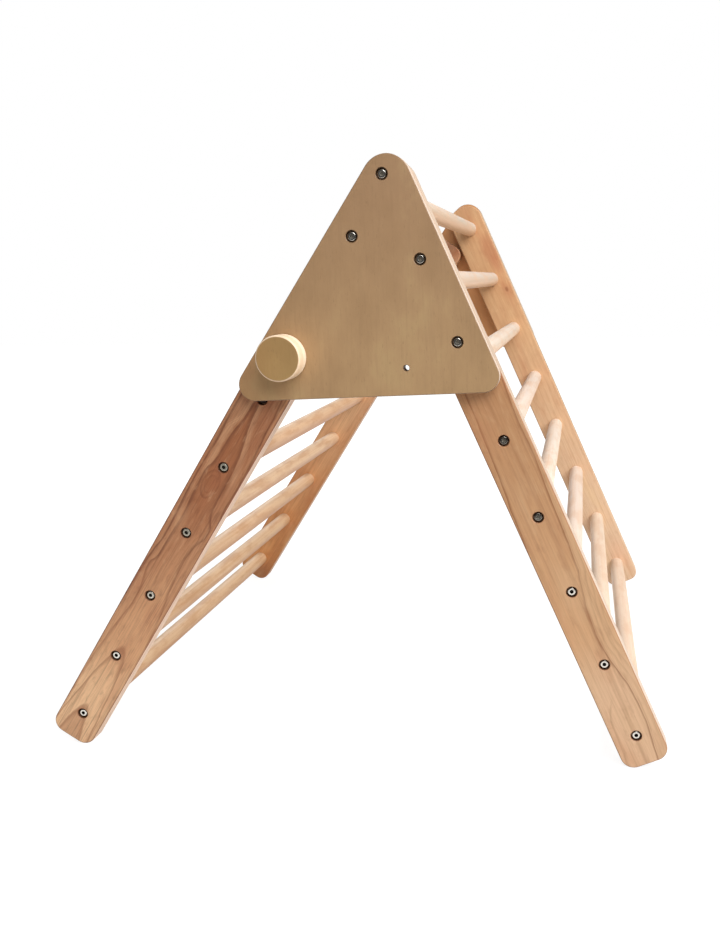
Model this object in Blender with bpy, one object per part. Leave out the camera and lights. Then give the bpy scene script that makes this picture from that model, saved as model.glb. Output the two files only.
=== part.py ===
"""Foldable wooden climbing frame: two ladders joined near the top by two plywood panels.

The steeper ladder is screwed to the panels and keeps still. The other ladder swings on a bolt
through each panel, and a knob with a stud holds it open. Lengths are in metres, +Z is up, the
frame stands on z = 0, the rungs run along Y and the near side is at -Y.
"""

import math

import bmesh
import bpy
from mathutils import Vector

# Rungs
RUNG_DIAMETER = 0.025
RUNG_LENGTH = 0.693
RUNG_PITCH = 0.100
FIXED_RUNG_COUNT = 8
SWING_RUNG_COUNT = 7

# Rails
RAIL_WIDTH = 0.0595
RAIL_THICKNESS = 0.025
FOOT_REACH = 0.040
CROWN_REACH = 0.042
FOOT_RADIUS = 0.0165
CROWN_FLAT = 0.0075
CROWN_RADIUS = (RAIL_WIDTH - CROWN_FLAT) / 2.0
RAIL_EDGE_ROUND = 0.002
FIXED_LEAN = math.radians(66.6)

# Pivot of the swinging ladder, measured from the fixed ladder's top rung
PIVOT_DROP = 0.0185
FOLD_GAP = 0.0005
PIVOT_RISE = 0.1213
SWING_TOP_REACH = 0.0195
SWING_TOP_RADIUS = 0.0165
FOLD_ANGLE = math.radians(54.0)

# Plywood side panels
PANEL_THICKNESS = 0.015
PANEL_EDGE_AT_PIVOT = 0.0273
PANEL_EDGE_AT_LOCK = 0.0302
PANEL_BELOW_LOCK = 0.047
PANEL_LOWER_EDGE_TILT = math.radians(1.7)
PANEL_APEX_RADIUS = 0.027
PANEL_CORNER_RADIUS = 0.019
PANEL_EDGE_ROUND = 0.0012
PANEL_BOLT_COUNT = 3
PANEL_BOLT_PITCH = 0.1007
PANEL_BOLT_RISE = 0.0272
PANEL_BOLT_GRIP = 0.013

# Lock: a wooden knob on a stud, measured down the swinging rail and in from its middle line
LOCK_DROP = 0.1583
LOCK_INSET = 0.002
KNOB_DIAMETER = 0.050
KNOB_THICKNESS = 0.028
KNOB_EDGE_ROUND = 0.0015
STUD_DIAMETER = 0.006
STUD_SEAT_DEPTH = 0.016

# Socket cap bolts, nuts and washers
BOLT_DIAMETER = 0.006
BOLT_HEAD_DIAMETER = 0.010
BOLT_HEAD_HEIGHT = 0.006
BOLT_SOCKET_FLATS = 0.005
BOLT_SOCKET_DEPTH = 0.003
BOLT_GRIP_IN_RUNG = 0.025
COUNTERBORE_DIAMETER = 0.0135
RAIL_COUNTERBORE_DEPTH = 0.0080
PANEL_COUNTERBORE_DEPTH = 0.0075
NUT_FLATS = 0.010
NUT_HEIGHT = 0.005
NUT_DOME_HEIGHT = 0.004
NUT_DOME_TIP_DIAMETER = 0.005
WASHER_DIAMETER = 0.018
WASHER_THICKNESS = 0.001

# Clearances
SEAT_GAP = 0.0003
BORE_CLEARANCE = 0.0005
HOLE_END_CLEARANCE = 0.001
CUT_OVERRUN = 0.002

# Facets
TURN_SIDES = 12
RUNG_SIDES = 16
KNOB_SIDES = 24
CORNER_STEPS = 5
ROUND_STEPS = 2
SMOOTH_ANGLE = math.radians(40.0)
SIXTH_TURN = math.pi / 3.0

# Places across the frame, as distances from its middle
FIXED_INNER_FACE = RUNG_LENGTH / 2.0
FIXED_OUTER_FACE = FIXED_INNER_FACE + RAIL_THICKNESS
PANEL_INNER_FACE = FIXED_OUTER_FACE + SEAT_GAP
PANEL_OUTER_FACE = PANEL_INNER_FACE + PANEL_THICKNESS
SWING_OUTER_FACE = PANEL_INNER_FACE - WASHER_THICKNESS - 2.0 * SEAT_GAP
SWING_INNER_FACE = SWING_OUTER_FACE - RAIL_THICKNESS
KNOB_INNER_FACE = PANEL_OUTER_FACE + SEAT_GAP

# Places along the ladders, from the lowest rung of the fixed one and from the pivot of the other
FIXED_TOP_RUNG = (FIXED_RUNG_COUNT - 1) * RUNG_PITCH
SWING_FOOT_RUNG = PIVOT_RISE + (SWING_RUNG_COUNT - 1) * RUNG_PITCH
PIVOT_OFFSET = RAIL_WIDTH + FOLD_GAP
FIRST_BARE_RUNG = PANEL_BOLT_COUNT + 1


def foot_height(lean):
    """Height of the lowest rung of a ladder that stands on its rails' rounded foot corners."""
    return (
        (FOOT_REACH - FOOT_RADIUS) * math.sin(lean)
        + (RAIL_WIDTH / 2.0 - FOOT_RADIUS) * math.cos(lean)
        + FOOT_RADIUS
    )


def foot_spread(lean):
    """How far a foot reaches outwards past its lowest rung."""
    return (
        (FOOT_REACH - FOOT_RADIUS) * math.cos(lean)
        + (RAIL_WIDTH / 2.0 - FOOT_RADIUS) * math.sin(lean)
        + FOOT_RADIUS
    )


def swing_lean(pivot_height):
    """Lean at which the swinging ladder's foot meets the floor under its pivot."""
    along = SWING_FOOT_RUNG + FOOT_REACH - FOOT_RADIUS
    across = RAIL_WIDTH / 2.0 - FOOT_RADIUS
    return math.asin((pivot_height - FOOT_RADIUS) / math.hypot(along, across)) - math.atan2(
        across, along
    )


FIXED_UP = Vector((-math.cos(FIXED_LEAN), 0.0, math.sin(FIXED_LEAN)))
FIXED_OUT = Vector((math.sin(FIXED_LEAN), 0.0, math.cos(FIXED_LEAN)))
FROM_FIXED_FOOT_TO_PIVOT = FIXED_UP * (FIXED_TOP_RUNG - PIVOT_DROP) - FIXED_OUT * PIVOT_OFFSET
PIVOT_HEIGHT = foot_height(FIXED_LEAN) + FROM_FIXED_FOOT_TO_PIVOT.z
SWING_LEAN = swing_lean(PIVOT_HEIGHT)
SWING_UP = Vector((math.cos(SWING_LEAN), 0.0, math.sin(SWING_LEAN)))
SWING_OUT = Vector((-math.sin(SWING_LEAN), 0.0, math.cos(SWING_LEAN)))

RIGHT_REACH = foot_spread(FIXED_LEAN) - FROM_FIXED_FOOT_TO_PIVOT.x
LEFT_REACH = foot_spread(SWING_LEAN) + SWING_UP.x * SWING_FOOT_RUNG
PIVOT = Vector(((LEFT_REACH - RIGHT_REACH) / 2.0, 0.0, PIVOT_HEIGHT))
FIXED_FOOT = PIVOT - FROM_FIXED_FOOT_TO_PIVOT


def fixed_place(along, across=0.0):
    """A point on the fixed ladder, from its lowest rung, with across towards the outside."""
    return FIXED_FOOT + FIXED_UP * along + FIXED_OUT * across


def swing_place(down, across=0.0):
    """A point on the open swinging ladder, from the pivot down, with across towards the outside."""
    return PIVOT - SWING_UP * down + SWING_OUT * across


def material(name, colour, roughness, metallic=0.0):
    finish = bpy.data.materials.new(name)
    finish.use_nodes = True
    shader = finish.node_tree.nodes["Principled BSDF"]
    shader.inputs["Base Color"].default_value = (*colour, 1.0)
    shader.inputs["Roughness"].default_value = roughness
    shader.inputs["Metallic"].default_value = metallic
    finish.diffuse_color = (*colour, 1.0)
    return finish


def empty(name, place):
    axis = bpy.data.objects.new(name, None)
    axis.location = place
    bpy.context.scene.collection.objects.link(axis)
    return axis


def add(name, shape, finish, place, lean=0.0, parent=None):
    """Make an object of a finished bmesh and stand it at a place in the world."""
    bmesh.ops.recalc_face_normals(shape, faces=shape.faces)
    mesh = bpy.data.meshes.new(name)
    shape.to_mesh(mesh)
    shape.free()
    mesh.shade_smooth()
    mesh.set_sharp_from_angle(angle=SMOOTH_ANGLE)
    if finish:
        mesh.materials.append(finish)
    return stand(name, mesh, place, lean, parent)


def stand(name, mesh, place, lean=0.0, parent=None):
    item = bpy.data.objects.new(name, mesh)
    item.location = place - parent.location if parent else place
    item.rotation_euler = (0.0, lean, 0.0)
    item.parent = parent
    bpy.context.scene.collection.objects.link(item)
    return item


def rounded_outline(corners, radii):
    """Points round a convex polygon whose corners are turned to arcs, in x and z."""
    points = []
    count = len(corners)
    for index, corner in enumerate(corners):
        before = (corners[index - 1] - corner).normalized()
        after = (corners[(index + 1) % count] - corner).normalized()
        half = before.angle(after) / 2.0
        radius = radii[index]
        centre = corner + (before + after).normalized() * (radius / math.sin(half))
        start = (corner + before * (radius / math.tan(half)) - centre).normalized()
        end = (corner + after * (radius / math.tan(half)) - centre).normalized()
        for step in range(CORNER_STEPS + 1):
            share = step / CORNER_STEPS
            points.append(centre + start.slerp(end, share) * radius)
    return points


def plate(outline, thickness):
    """A flat board of this outline, its thickness centred on y = 0."""
    shape = bmesh.new()
    back = [shape.verts.new((point.x, -thickness / 2.0, point.z)) for point in outline]
    face = shape.faces.new(back)
    grown = bmesh.ops.extrude_face_region(shape, geom=[face])
    front = [item for item in grown["geom"] if isinstance(item, bmesh.types.BMVert)]
    bmesh.ops.translate(shape, verts=front, vec=(0.0, thickness, 0.0))
    return shape


def turn(shape, profile, sides, centre=(0.0, 0.0), start=0.0, inward=1.0, hollow=False):
    """Add a turned solid about a line along Y.

    The profile runs as radius, depth and, for a hexagon, the word hexagon, whose radius is half
    the distance over its flats. A hollow profile closes on itself and leaves a bore.
    """
    rings = []
    for radius, depth, *outline in profile:
        ring = []
        for side in range(sides):
            angle = 2.0 * math.pi * side / sides
            reach = radius
            if outline:
                past_flat = (angle + SIXTH_TURN / 2.0) % SIXTH_TURN - SIXTH_TURN / 2.0
                reach = radius / math.cos(past_flat)
            x = centre[0] + reach * math.cos(angle)
            z = centre[1] + reach * math.sin(angle)
            ring.append(shape.verts.new((x, start + inward * depth, z)))
        rings.append(ring)
    pairs = list(zip(rings, rings[1:]))
    if hollow:
        pairs.append((rings[-1], rings[0]))
    else:
        shape.faces.new(rings[0])
        shape.faces.new(rings[-1])
    for low, high in pairs:
        for side in range(sides):
            after = (side + 1) % sides
            shape.faces.new((low[side], low[after], high[after], high[side]))


def bore(diameter, length):
    """Profile of a plain hole that starts outside the face it is drilled in."""
    radius = diameter / 2.0 + BORE_CLEARANCE
    return [(radius, -CUT_OVERRUN), (radius, length)]


def counterbore(depth, length):
    """Profile of a hole for a cap bolt, with its head sunk to this depth."""
    wide = COUNTERBORE_DIAMETER / 2.0
    narrow = BOLT_DIAMETER / 2.0 + BORE_CLEARANCE
    return [(wide, -CUT_OVERRUN), (wide, depth), (narrow, depth), (narrow, length)]


def drill(board, holes, side, thickness):
    """Cut holes, each a place in the board's own x and z and a profile, from its outer face."""
    shape = bmesh.new()
    for place, profile in holes:
        turn(shape, profile, TURN_SIDES, place, side * thickness / 2.0, -side)
    cutter = add(board.name + "_drill", shape, None, Vector())
    cutter.matrix_basis = board.matrix_basis
    cutter.location = board.location + (board.parent.location if board.parent else Vector())
    cutter.hide_render = True
    cutter.display_type = "WIRE"
    cut = board.modifiers.new("holes", "BOOLEAN")
    cut.operation = "DIFFERENCE"
    cut.object = cutter


def round_edges(board, radius):
    edges = board.modifiers.new("rounded edges", "BEVEL")
    edges.width = radius
    edges.segments = ROUND_STEPS
    edges.limit_method = "ANGLE"
    edges.angle_limit = SMOOTH_ANGLE


def rail_outline(foot, top, top_radius):
    half = RAIL_WIDTH / 2.0
    corners = [
        Vector((foot, 0.0, -half)),
        Vector((top, 0.0, -half)),
        Vector((top, 0.0, half)),
        Vector((foot, 0.0, half)),
    ]
    return rounded_outline(corners, [FOOT_RADIUS, top_radius, top_radius, FOOT_RADIUS])


def cap_bolt(grip):
    """Mesh of a cap bolt along +Y, with the seat of its head at 0 and this grip under it."""
    shape = bmesh.new()
    shank = BOLT_DIAMETER / 2.0
    head = BOLT_HEAD_DIAMETER / 2.0
    socket = BOLT_SOCKET_FLATS / 2.0
    profile = [
        (shank, grip),
        (shank, 0.0),
        (head, 0.0),
        (head, -BOLT_HEAD_HEIGHT),
        (socket, -BOLT_HEAD_HEIGHT, "hexagon"),
        (socket, BOLT_SOCKET_DEPTH - BOLT_HEAD_HEIGHT, "hexagon"),
    ]
    turn(shape, profile, TURN_SIDES)
    return shape


def place_bolt(name, grip, face, counterbore_depth, side, place, finish, parent=None):
    """A cap bolt whose head sits in the counterbore of an outer face."""
    seat = face - counterbore_depth + SEAT_GAP
    bolt = add(name, cap_bolt(grip), finish, Vector((place.x, side * seat, place.z)), parent=parent)
    if side > 0.0:
        bolt.rotation_euler.z = math.pi
    return bolt


def fixed_rail(name, side, finish):
    top = FIXED_TOP_RUNG + CROWN_REACH
    shape = plate(rail_outline(-FOOT_REACH, top, CROWN_RADIUS), RAIL_THICKNESS)
    middle = side * (FIXED_INNER_FACE + RAIL_THICKNESS / 2.0)
    rail = add(
        name, shape, finish, FIXED_FOOT + Vector((0.0, middle, 0.0)), FIXED_LEAN - math.pi
    )
    round_edges(rail, RAIL_EDGE_ROUND)
    through = RAIL_THICKNESS + CUT_OVERRUN
    holes = []
    for number in range(FIXED_RUNG_COUNT):
        holes.append(((number * RUNG_PITCH, 0.0), counterbore(RAIL_COUNTERBORE_DEPTH, through)))
    for number in range(PANEL_BOLT_COUNT):
        along = FIXED_TOP_RUNG - number * PANEL_BOLT_PITCH + PANEL_BOLT_RISE
        holes.append(((along, 0.0), bore(BOLT_DIAMETER, PANEL_BOLT_GRIP + HOLE_END_CLEARANCE)))
    drill(rail, holes, side, RAIL_THICKNESS)


def swing_rail(name, side, finish, axis):
    foot = -SWING_FOOT_RUNG - FOOT_REACH
    shape = plate(rail_outline(foot, SWING_TOP_REACH, SWING_TOP_RADIUS), RAIL_THICKNESS)
    middle = side * (SWING_INNER_FACE + RAIL_THICKNESS / 2.0)
    rail = add(name, shape, finish, PIVOT + Vector((0.0, middle, 0.0)), -SWING_LEAN, axis)
    round_edges(rail, RAIL_EDGE_ROUND)
    through = RAIL_THICKNESS + CUT_OVERRUN
    holes = [((0.0, 0.0), bore(BOLT_DIAMETER, through))]
    holes.append(((-LOCK_DROP, -LOCK_INSET), bore(STUD_DIAMETER, through)))
    for number in range(SWING_RUNG_COUNT):
        along = -PIVOT_RISE - number * RUNG_PITCH
        holes.append(((along, 0.0), counterbore(RAIL_COUNTERBORE_DEPTH, through)))
    drill(rail, holes, side, RAIL_THICKNESS)


def meet(point, direction, other_point, other_direction):
    """Where two lines in x and z cross."""
    spread = direction.x * other_direction.z - direction.z * other_direction.x
    away = other_point - point
    share = (away.x * other_direction.z - away.z * other_direction.x) / spread
    return point + direction * share


def panel_outline():
    """The panel's three sides follow both ladders' outer edges and a lower edge."""
    fixed_edge = fixed_place(FIXED_TOP_RUNG, RAIL_WIDTH / 2.0) - PIVOT
    swing_edge = swing_place(0.0, PANEL_EDGE_AT_PIVOT) - PIVOT
    swing_direction = swing_edge - (swing_place(LOCK_DROP, PANEL_EDGE_AT_LOCK) - PIVOT)
    lower_edge = Vector((0.0, 0.0, -LOCK_DROP * SWING_UP.z - PANEL_BELOW_LOCK))
    lower_direction = Vector(
        (math.cos(PANEL_LOWER_EDGE_TILT), 0.0, math.sin(PANEL_LOWER_EDGE_TILT))
    )
    corners = [
        meet(swing_edge, swing_direction, lower_edge, lower_direction),
        meet(fixed_edge, FIXED_UP, lower_edge, lower_direction),
        meet(fixed_edge, FIXED_UP, swing_edge, swing_direction),
    ]
    return rounded_outline(corners, [PANEL_CORNER_RADIUS, PANEL_CORNER_RADIUS, PANEL_APEX_RADIUS])


def lock_place(angle):
    """Where the lock lies with the swinging ladder folded by this angle."""
    down = swing_place(LOCK_DROP, -LOCK_INSET) - PIVOT
    x = down.x * math.cos(angle) - down.z * math.sin(angle)
    z = down.x * math.sin(angle) + down.z * math.cos(angle)
    return PIVOT + Vector((x, 0.0, z))


def panel_bolt_place(number):
    return fixed_place(FIXED_TOP_RUNG - number * PANEL_BOLT_PITCH + PANEL_BOLT_RISE)


def side_panel(name, side, finish):
    middle = side * (PANEL_INNER_FACE + PANEL_THICKNESS / 2.0)
    panel = add(
        name, plate(panel_outline(), PANEL_THICKNESS), finish, PIVOT + Vector((0.0, middle, 0.0))
    )
    round_edges(panel, PANEL_EDGE_ROUND)
    through = PANEL_THICKNESS + CUT_OVERRUN
    holes = [((0.0, 0.0), counterbore(PANEL_COUNTERBORE_DEPTH, through))]
    for number in range(PANEL_BOLT_COUNT):
        spot = panel_bolt_place(number) - PIVOT
        holes.append(((spot.x, spot.z), counterbore(PANEL_COUNTERBORE_DEPTH, through)))
    for angle in (0.0, FOLD_ANGLE):
        spot = lock_place(angle) - PIVOT
        holes.append(((spot.x, spot.z), bore(STUD_DIAMETER, through)))
    drill(panel, holes, side, PANEL_THICKNESS)


def rung_end(outer_face, fused_bolt, inner_face):
    """Half of a rung's profile, from its own end inwards, as radius and distance from the middle."""
    radius = RUNG_DIAMETER / 2.0
    end = inner_face - SEAT_GAP
    if fused_bolt:
        seat = outer_face - RAIL_COUNTERBORE_DEPTH + SEAT_GAP
        head = BOLT_HEAD_DIAMETER / 2.0
        shank = BOLT_DIAMETER / 2.0
        tip = seat + BOLT_HEAD_HEIGHT
        return [(head, tip), (head, seat), (shank, seat), (shank, end), (radius, end)]
    pocket = end - BOLT_GRIP_IN_RUNG - HOLE_END_CLEARANCE
    hole = BOLT_DIAMETER / 2.0 + BORE_CLEARANCE
    return [(hole, pocket), (hole, end), (radius, end)]


def rung(name, place, outer_face, inner_face, fused_bolt, finish, parent=None):
    shape = bmesh.new()
    near = [(r, -y) for r, y in rung_end(outer_face, fused_bolt, inner_face)]
    far = [(r, y) for r, y in reversed(rung_end(outer_face, fused_bolt, inner_face))]
    turn(shape, near + far, RUNG_SIDES)
    add(name, shape, finish, place, parent=parent)


def lock(side_name, side, wood, steel):
    """The knob's disc and its stud, which slide out together along the lock's line."""
    spot = lock_place(0.0)
    axis = empty("lock_axis_" + side_name, spot + Vector((0.0, side * KNOB_INNER_FACE, 0.0)))
    radius = KNOB_DIAMETER / 2.0
    hole = STUD_DIAMETER / 2.0 + BORE_CLEARANCE
    profile = [
        (hole, STUD_SEAT_DEPTH + HOLE_END_CLEARANCE),
        (hole, 0.0),
        (radius - KNOB_EDGE_ROUND, 0.0),
        (radius, KNOB_EDGE_ROUND),
    ]
    for step in range(ROUND_STEPS + 1):
        angle = math.pi / 2.0 * step / ROUND_STEPS
        profile.append(
            (
                radius - KNOB_EDGE_ROUND + KNOB_EDGE_ROUND * math.cos(angle),
                KNOB_THICKNESS - KNOB_EDGE_ROUND + KNOB_EDGE_ROUND * math.sin(angle),
            )
        )
    disc = bmesh.new()
    turn(disc, profile, KNOB_SIDES, inward=side)
    add("lock_knob_" + side_name, disc, wood, axis.location.copy(), parent=axis)
    stud = bmesh.new()
    reach = PANEL_THICKNESS + SEAT_GAP
    rod = STUD_DIAMETER / 2.0
    turn(stud, [(rod, -reach), (rod, STUD_SEAT_DEPTH)], TURN_SIDES, inward=side)
    add("lock_stud_" + side_name, stud, steel, axis.location.copy(), parent=axis)


def pivot_hardware(side_name, side, steel):
    """The bolt that the swinging ladder turns on, its spacer and its domed nut."""
    nut_seat = SWING_INNER_FACE - SEAT_GAP
    seat = PANEL_OUTER_FACE - PANEL_COUNTERBORE_DEPTH + SEAT_GAP
    nut_bore_end = nut_seat - NUT_HEIGHT
    grip = seat - nut_bore_end - HOLE_END_CLEARANCE
    place_bolt(
        "pivot_bolt_" + side_name,
        grip,
        PANEL_OUTER_FACE,
        PANEL_COUNTERBORE_DEPTH,
        side,
        PIVOT,
        steel,
    )
    hole = BOLT_DIAMETER / 2.0 + BORE_CLEARANCE
    washer = bmesh.new()
    rim = WASHER_DIAMETER / 2.0
    profile = [(hole, 0.0), (rim, 0.0), (rim, WASHER_THICKNESS), (hole, WASHER_THICKNESS)]
    turn(washer, profile, TURN_SIDES, inward=-side, hollow=True)
    at = Vector((0.0, side * (PANEL_INNER_FACE - SEAT_GAP), 0.0))
    add("pivot_washer_" + side_name, washer, steel, PIVOT + at)
    nut = bmesh.new()
    flats = NUT_FLATS / 2.0
    tip = NUT_DOME_TIP_DIAMETER / 2.0
    profile = [
        (hole, NUT_HEIGHT),
        (hole, 0.0),
        (flats, 0.0, "hexagon"),
        (flats, NUT_HEIGHT, "hexagon"),
        (tip, NUT_HEIGHT + NUT_DOME_HEIGHT),
    ]
    turn(nut, profile, TURN_SIDES, inward=-side)
    add("pivot_nut_" + side_name, nut, steel, PIVOT + Vector((0.0, side * nut_seat, 0.0)))


def build():
    for item in list(bpy.data.objects):
        bpy.data.objects.remove(item, do_unlink=True)

    fixed_wood = material("fixed_rail_wood", (0.58, 0.36, 0.20), 0.5)
    swing_wood = material("swing_rail_wood", (0.46, 0.24, 0.13), 0.5)
    rung_wood = material("rung_beech", (0.80, 0.60, 0.43), 0.5)
    plywood = material("panel_plywood", (0.42, 0.28, 0.15), 0.55)
    knob_wood = material("knob_wood", (0.50, 0.34, 0.18), 0.5)
    steel = material("plated_steel", (0.55, 0.54, 0.52), 0.3, 1.0)

    fold_axis = empty("fold_axis", PIVOT)
    grip_in_rail = RAIL_THICKNESS - RAIL_COUNTERBORE_DEPTH + SEAT_GAP
    rung_grip = grip_in_rail + SEAT_GAP + BOLT_GRIP_IN_RUNG
    panel_grip = PANEL_THICKNESS - PANEL_COUNTERBORE_DEPTH + 2.0 * SEAT_GAP + PANEL_BOLT_GRIP

    for side_name, side in (("near", -1.0), ("far", 1.0)):
        fixed_rail("fixed_rail_" + side_name, side, fixed_wood)
        swing_rail("swing_rail_" + side_name, side, swing_wood, fold_axis)
        side_panel("side_panel_" + side_name, side, plywood)
        pivot_hardware(side_name, side, steel)
        lock(side_name, side, knob_wood, steel)
        for number in range(PANEL_BOLT_COUNT):
            place_bolt(
                f"panel_bolt_{side_name}_{number + 1}",
                panel_grip,
                PANEL_OUTER_FACE,
                PANEL_COUNTERBORE_DEPTH,
                side,
                panel_bolt_place(number),
                steel,
            )
        for number in range(FIRST_BARE_RUNG, FIXED_RUNG_COUNT + 1):
            place_bolt(
                f"fixed_rung_bolt_{side_name}_{number}",
                rung_grip,
                FIXED_OUTER_FACE,
                RAIL_COUNTERBORE_DEPTH,
                side,
                fixed_place((FIXED_RUNG_COUNT - number) * RUNG_PITCH),
                steel,
            )
        for number in range(2, SWING_RUNG_COUNT + 1):
            place_bolt(
                f"swing_rung_bolt_{side_name}_{number}",
                rung_grip,
                SWING_OUTER_FACE,
                RAIL_COUNTERBORE_DEPTH,
                side,
                swing_place(PIVOT_RISE + (number - 1) * RUNG_PITCH),
                steel,
                fold_axis,
            )

    for number in range(1, FIXED_RUNG_COUNT + 1):
        place = fixed_place((FIXED_RUNG_COUNT - number) * RUNG_PITCH)
        covered = number < FIRST_BARE_RUNG
        name = f"fixed_rung_{number}"
        rung(name, place, FIXED_OUTER_FACE, FIXED_INNER_FACE, covered, rung_wood)
    for number in range(1, SWING_RUNG_COUNT + 1):
        place = swing_place(PIVOT_RISE + (number - 1) * RUNG_PITCH)
        covered = number == 1
        name = f"swing_rung_{number}"
        rung(name, place, SWING_OUTER_FACE, SWING_INNER_FACE, covered, rung_wood, fold_axis)


build()
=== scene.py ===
import math

import bmesh
import bpy
from mathutils import Matrix, Vector


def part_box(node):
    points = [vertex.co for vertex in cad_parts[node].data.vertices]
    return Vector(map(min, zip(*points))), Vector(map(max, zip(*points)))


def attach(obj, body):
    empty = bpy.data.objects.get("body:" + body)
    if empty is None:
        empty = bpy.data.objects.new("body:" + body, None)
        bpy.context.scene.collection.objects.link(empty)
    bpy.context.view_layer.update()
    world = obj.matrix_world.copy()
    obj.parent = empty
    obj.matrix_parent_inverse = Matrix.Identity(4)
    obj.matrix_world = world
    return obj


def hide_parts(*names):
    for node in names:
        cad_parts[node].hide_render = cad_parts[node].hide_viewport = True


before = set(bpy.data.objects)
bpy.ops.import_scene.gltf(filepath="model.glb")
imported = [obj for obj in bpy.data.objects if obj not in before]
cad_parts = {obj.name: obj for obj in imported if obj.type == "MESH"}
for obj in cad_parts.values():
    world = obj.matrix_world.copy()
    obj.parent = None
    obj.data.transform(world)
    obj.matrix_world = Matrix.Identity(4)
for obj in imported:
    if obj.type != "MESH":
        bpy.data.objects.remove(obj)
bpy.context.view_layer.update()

# Rails, in metres
FOOT_REACH = 0.040
FOOT_RADIUS = 0.0165
CROWN_REACH = 0.042
CROWN_RADIUS = 0.026
SWING_TOP_REACH = 0.0195
SWING_TOP_RADIUS = 0.0165
RAIL_WIDTH = 0.0595
RAIL_EDGE_ROUND = 0.002
FOLD = math.radians(54.0)

# Side panels
PANEL_EDGE_AT_PIVOT = 0.0273
PANEL_EDGE_AT_LOCK = 0.0306
PANEL_BELOW_LOCK = 0.049
PANEL_LOWER_EDGE_TILT = math.radians(1.7)
PANEL_APEX_RADIUS = 0.0278
PANEL_CORNER_RADIUS = 0.019
PANEL_EDGE_ROUND = 0.0012
PANEL_BLANK_MARGIN = 0.1

# How many there are, how many of each ladder's rungs the panels cover, and how many of its screws
# get the dark steel that is painted shade for the panels' shadow
RUNGS = {"fixed": 8, "swing": 7}
PANEL_BOLTS = 3
RUNGS_COVERED = {"fixed": 3, "swing": 1}
SCREWS_IN_SHADE = {"fixed": 3, "swing": 2}

# Knobs, bolts and their holes
KNOB_DIAMETER = 0.0528
KNOB_EDGE_ROUND = 0.0024
BOLT_DIAMETER = 0.006
BOLT_HEAD_DIAMETER = 0.010
BOLT_HEAD_HEIGHT = 0.006
BOLT_HEAD_CHAMFER = 0.0012
BOLT_SOCKET_FLATS = 0.0042
BOLT_SOCKET_RIM = 0.0003
BOLT_SOCKET_DEPTH = 0.003
BOLT_GRIP_IN_RUNG = 0.025
SCREW_TURN = 1.1
SOCKET_MARK = "inside_socket"
HOLE_MARK = "hole_wall"
COUNTERBORE_DIAMETER = 0.0135
RAIL_COUNTERBORE_DEPTH = 0.0080
PANEL_COUNTERBORE_DEPTH = 0.0075
HOLE_CHAMFER = 0.0006
BORE_DIAMETER = 0.007
SEAT_GAP = 0.0003
CUT_OVERRUN = 0.002
PANEL_BOLT_GRIP = 0.013
RUNG_END_ROUND = 0.0005
STUD_HOLE_DEPTH = 0.017
STUD_END_ROUND = 0.0005
WASHER_EDGE_ROUND = 0.0002
NUT_FLATS = 0.010
NUT_HEIGHT = 0.005

# How finely round shapes are cut
CORNER_STEPS = 10
ROUND_STEPS = 4
EDGE_STEPS = 3
END_STEPS = 2
HOLE_SIDES = 40
STUD_SIDES = 32
SCREW_SIDES = 48
RUNG_SIDES = 64
KNOB_SIDES = 96
SMOOTH_ANGLE = math.radians(35.0)
TINY = 0.00002

# Floor and light
FLOOR_WIDTH = 16.0
FLOOR_DEPTH = 9.3
FLOOR_BACK = 8.0
SHADOW_FROM = 0.5
SHADOW_TO = 1.6
FLOOR_GLOW_UNDER = 0.88
FLOOR_SEEN_GREY = (0.22, 0.22, 0.22, 1.0)
WHITE = (1.0, 1.0, 1.0, 1.0)
ROOM_LIGHT = 0.38
ROOM_MIRRORED = 0.06
LAMP_AIM = Vector((0.0, 0.0, 0.35))
LAMPS = (
    ("key_softbox", (2.0, -0.75, 2.0), 1.4, 68.0),
    ("front_softbox", (0.7, -1.9, 2.0), 1.2, 22.0),
    ("rear_softbox", (-1.2, 2.2, 2.0), 1.4, 30.0),
)

# Camera, measured from the photograph, whose frame is 720 by 928 pixels
PHOTO_WIDTH = 720.0
PHOTO_HEIGHT = 928.0
FOCAL_PIXELS = 944.65
CENTRE_RIGHT_PIXELS = 458.49
CENTRE_DOWN_PIXELS = 487.82
SENSOR_WIDTH = 36.0
CAMERA_PLACE = (0.2955, -1.4558, 0.5950)
CAMERA_RIGHT = (0.991497, 0.128256, -0.022019)
CAMERA_UP = (-0.006286, 0.216215, 0.976325)


def middle(node):
    low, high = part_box(node)
    return (Vector(low) + Vector(high)) / 2.0


def span(node, axis):
    low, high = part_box(node)
    return high[axis] - low[axis]


FIXED_FOOT = middle(f"fixed_rung_{RUNGS['fixed']}")
FIXED_UP = (middle("fixed_rung_1") - FIXED_FOOT).normalized()
SWING_FOOT = middle(f"swing_rung_{RUNGS['swing']}")
SWING_UP = (middle("swing_rung_1") - SWING_FOOT).normalized()
PIVOT = Vector((middle("pivot_bolt_near").x, 0.0, middle("pivot_bolt_near").z))
LOCK = Vector((middle("lock_stud_near").x, 0.0, middle("lock_stud_near").z))
FIXED_LENGTH = (middle("fixed_rung_1") - FIXED_FOOT).length
SWING_LENGTH = (PIVOT - Vector((SWING_FOOT.x, 0.0, SWING_FOOT.z))).length
RUNG_SPACING = FIXED_LENGTH / (RUNGS["fixed"] - 1)
RUNG_LENGTH = {ladder: span(f"{ladder}_rung_{count}", 1) for ladder, count in RUNGS.items()}
RAIL_THICKNESS = span("fixed_rail_near", 1)
PANEL_THICKNESS = span("side_panel_near", 1)
SIDES = (("near", -1.0), ("far", 1.0))

# Each ladder: its lowest rung's place, its direction, and its rails' top end and the radius there
LADDERS = {
    "fixed": (FIXED_FOOT, FIXED_UP, FIXED_LENGTH + CROWN_REACH, CROWN_RADIUS),
    "swing": (SWING_FOOT, SWING_UP, SWING_LENGTH + SWING_TOP_REACH, SWING_TOP_RADIUS),
}


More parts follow.
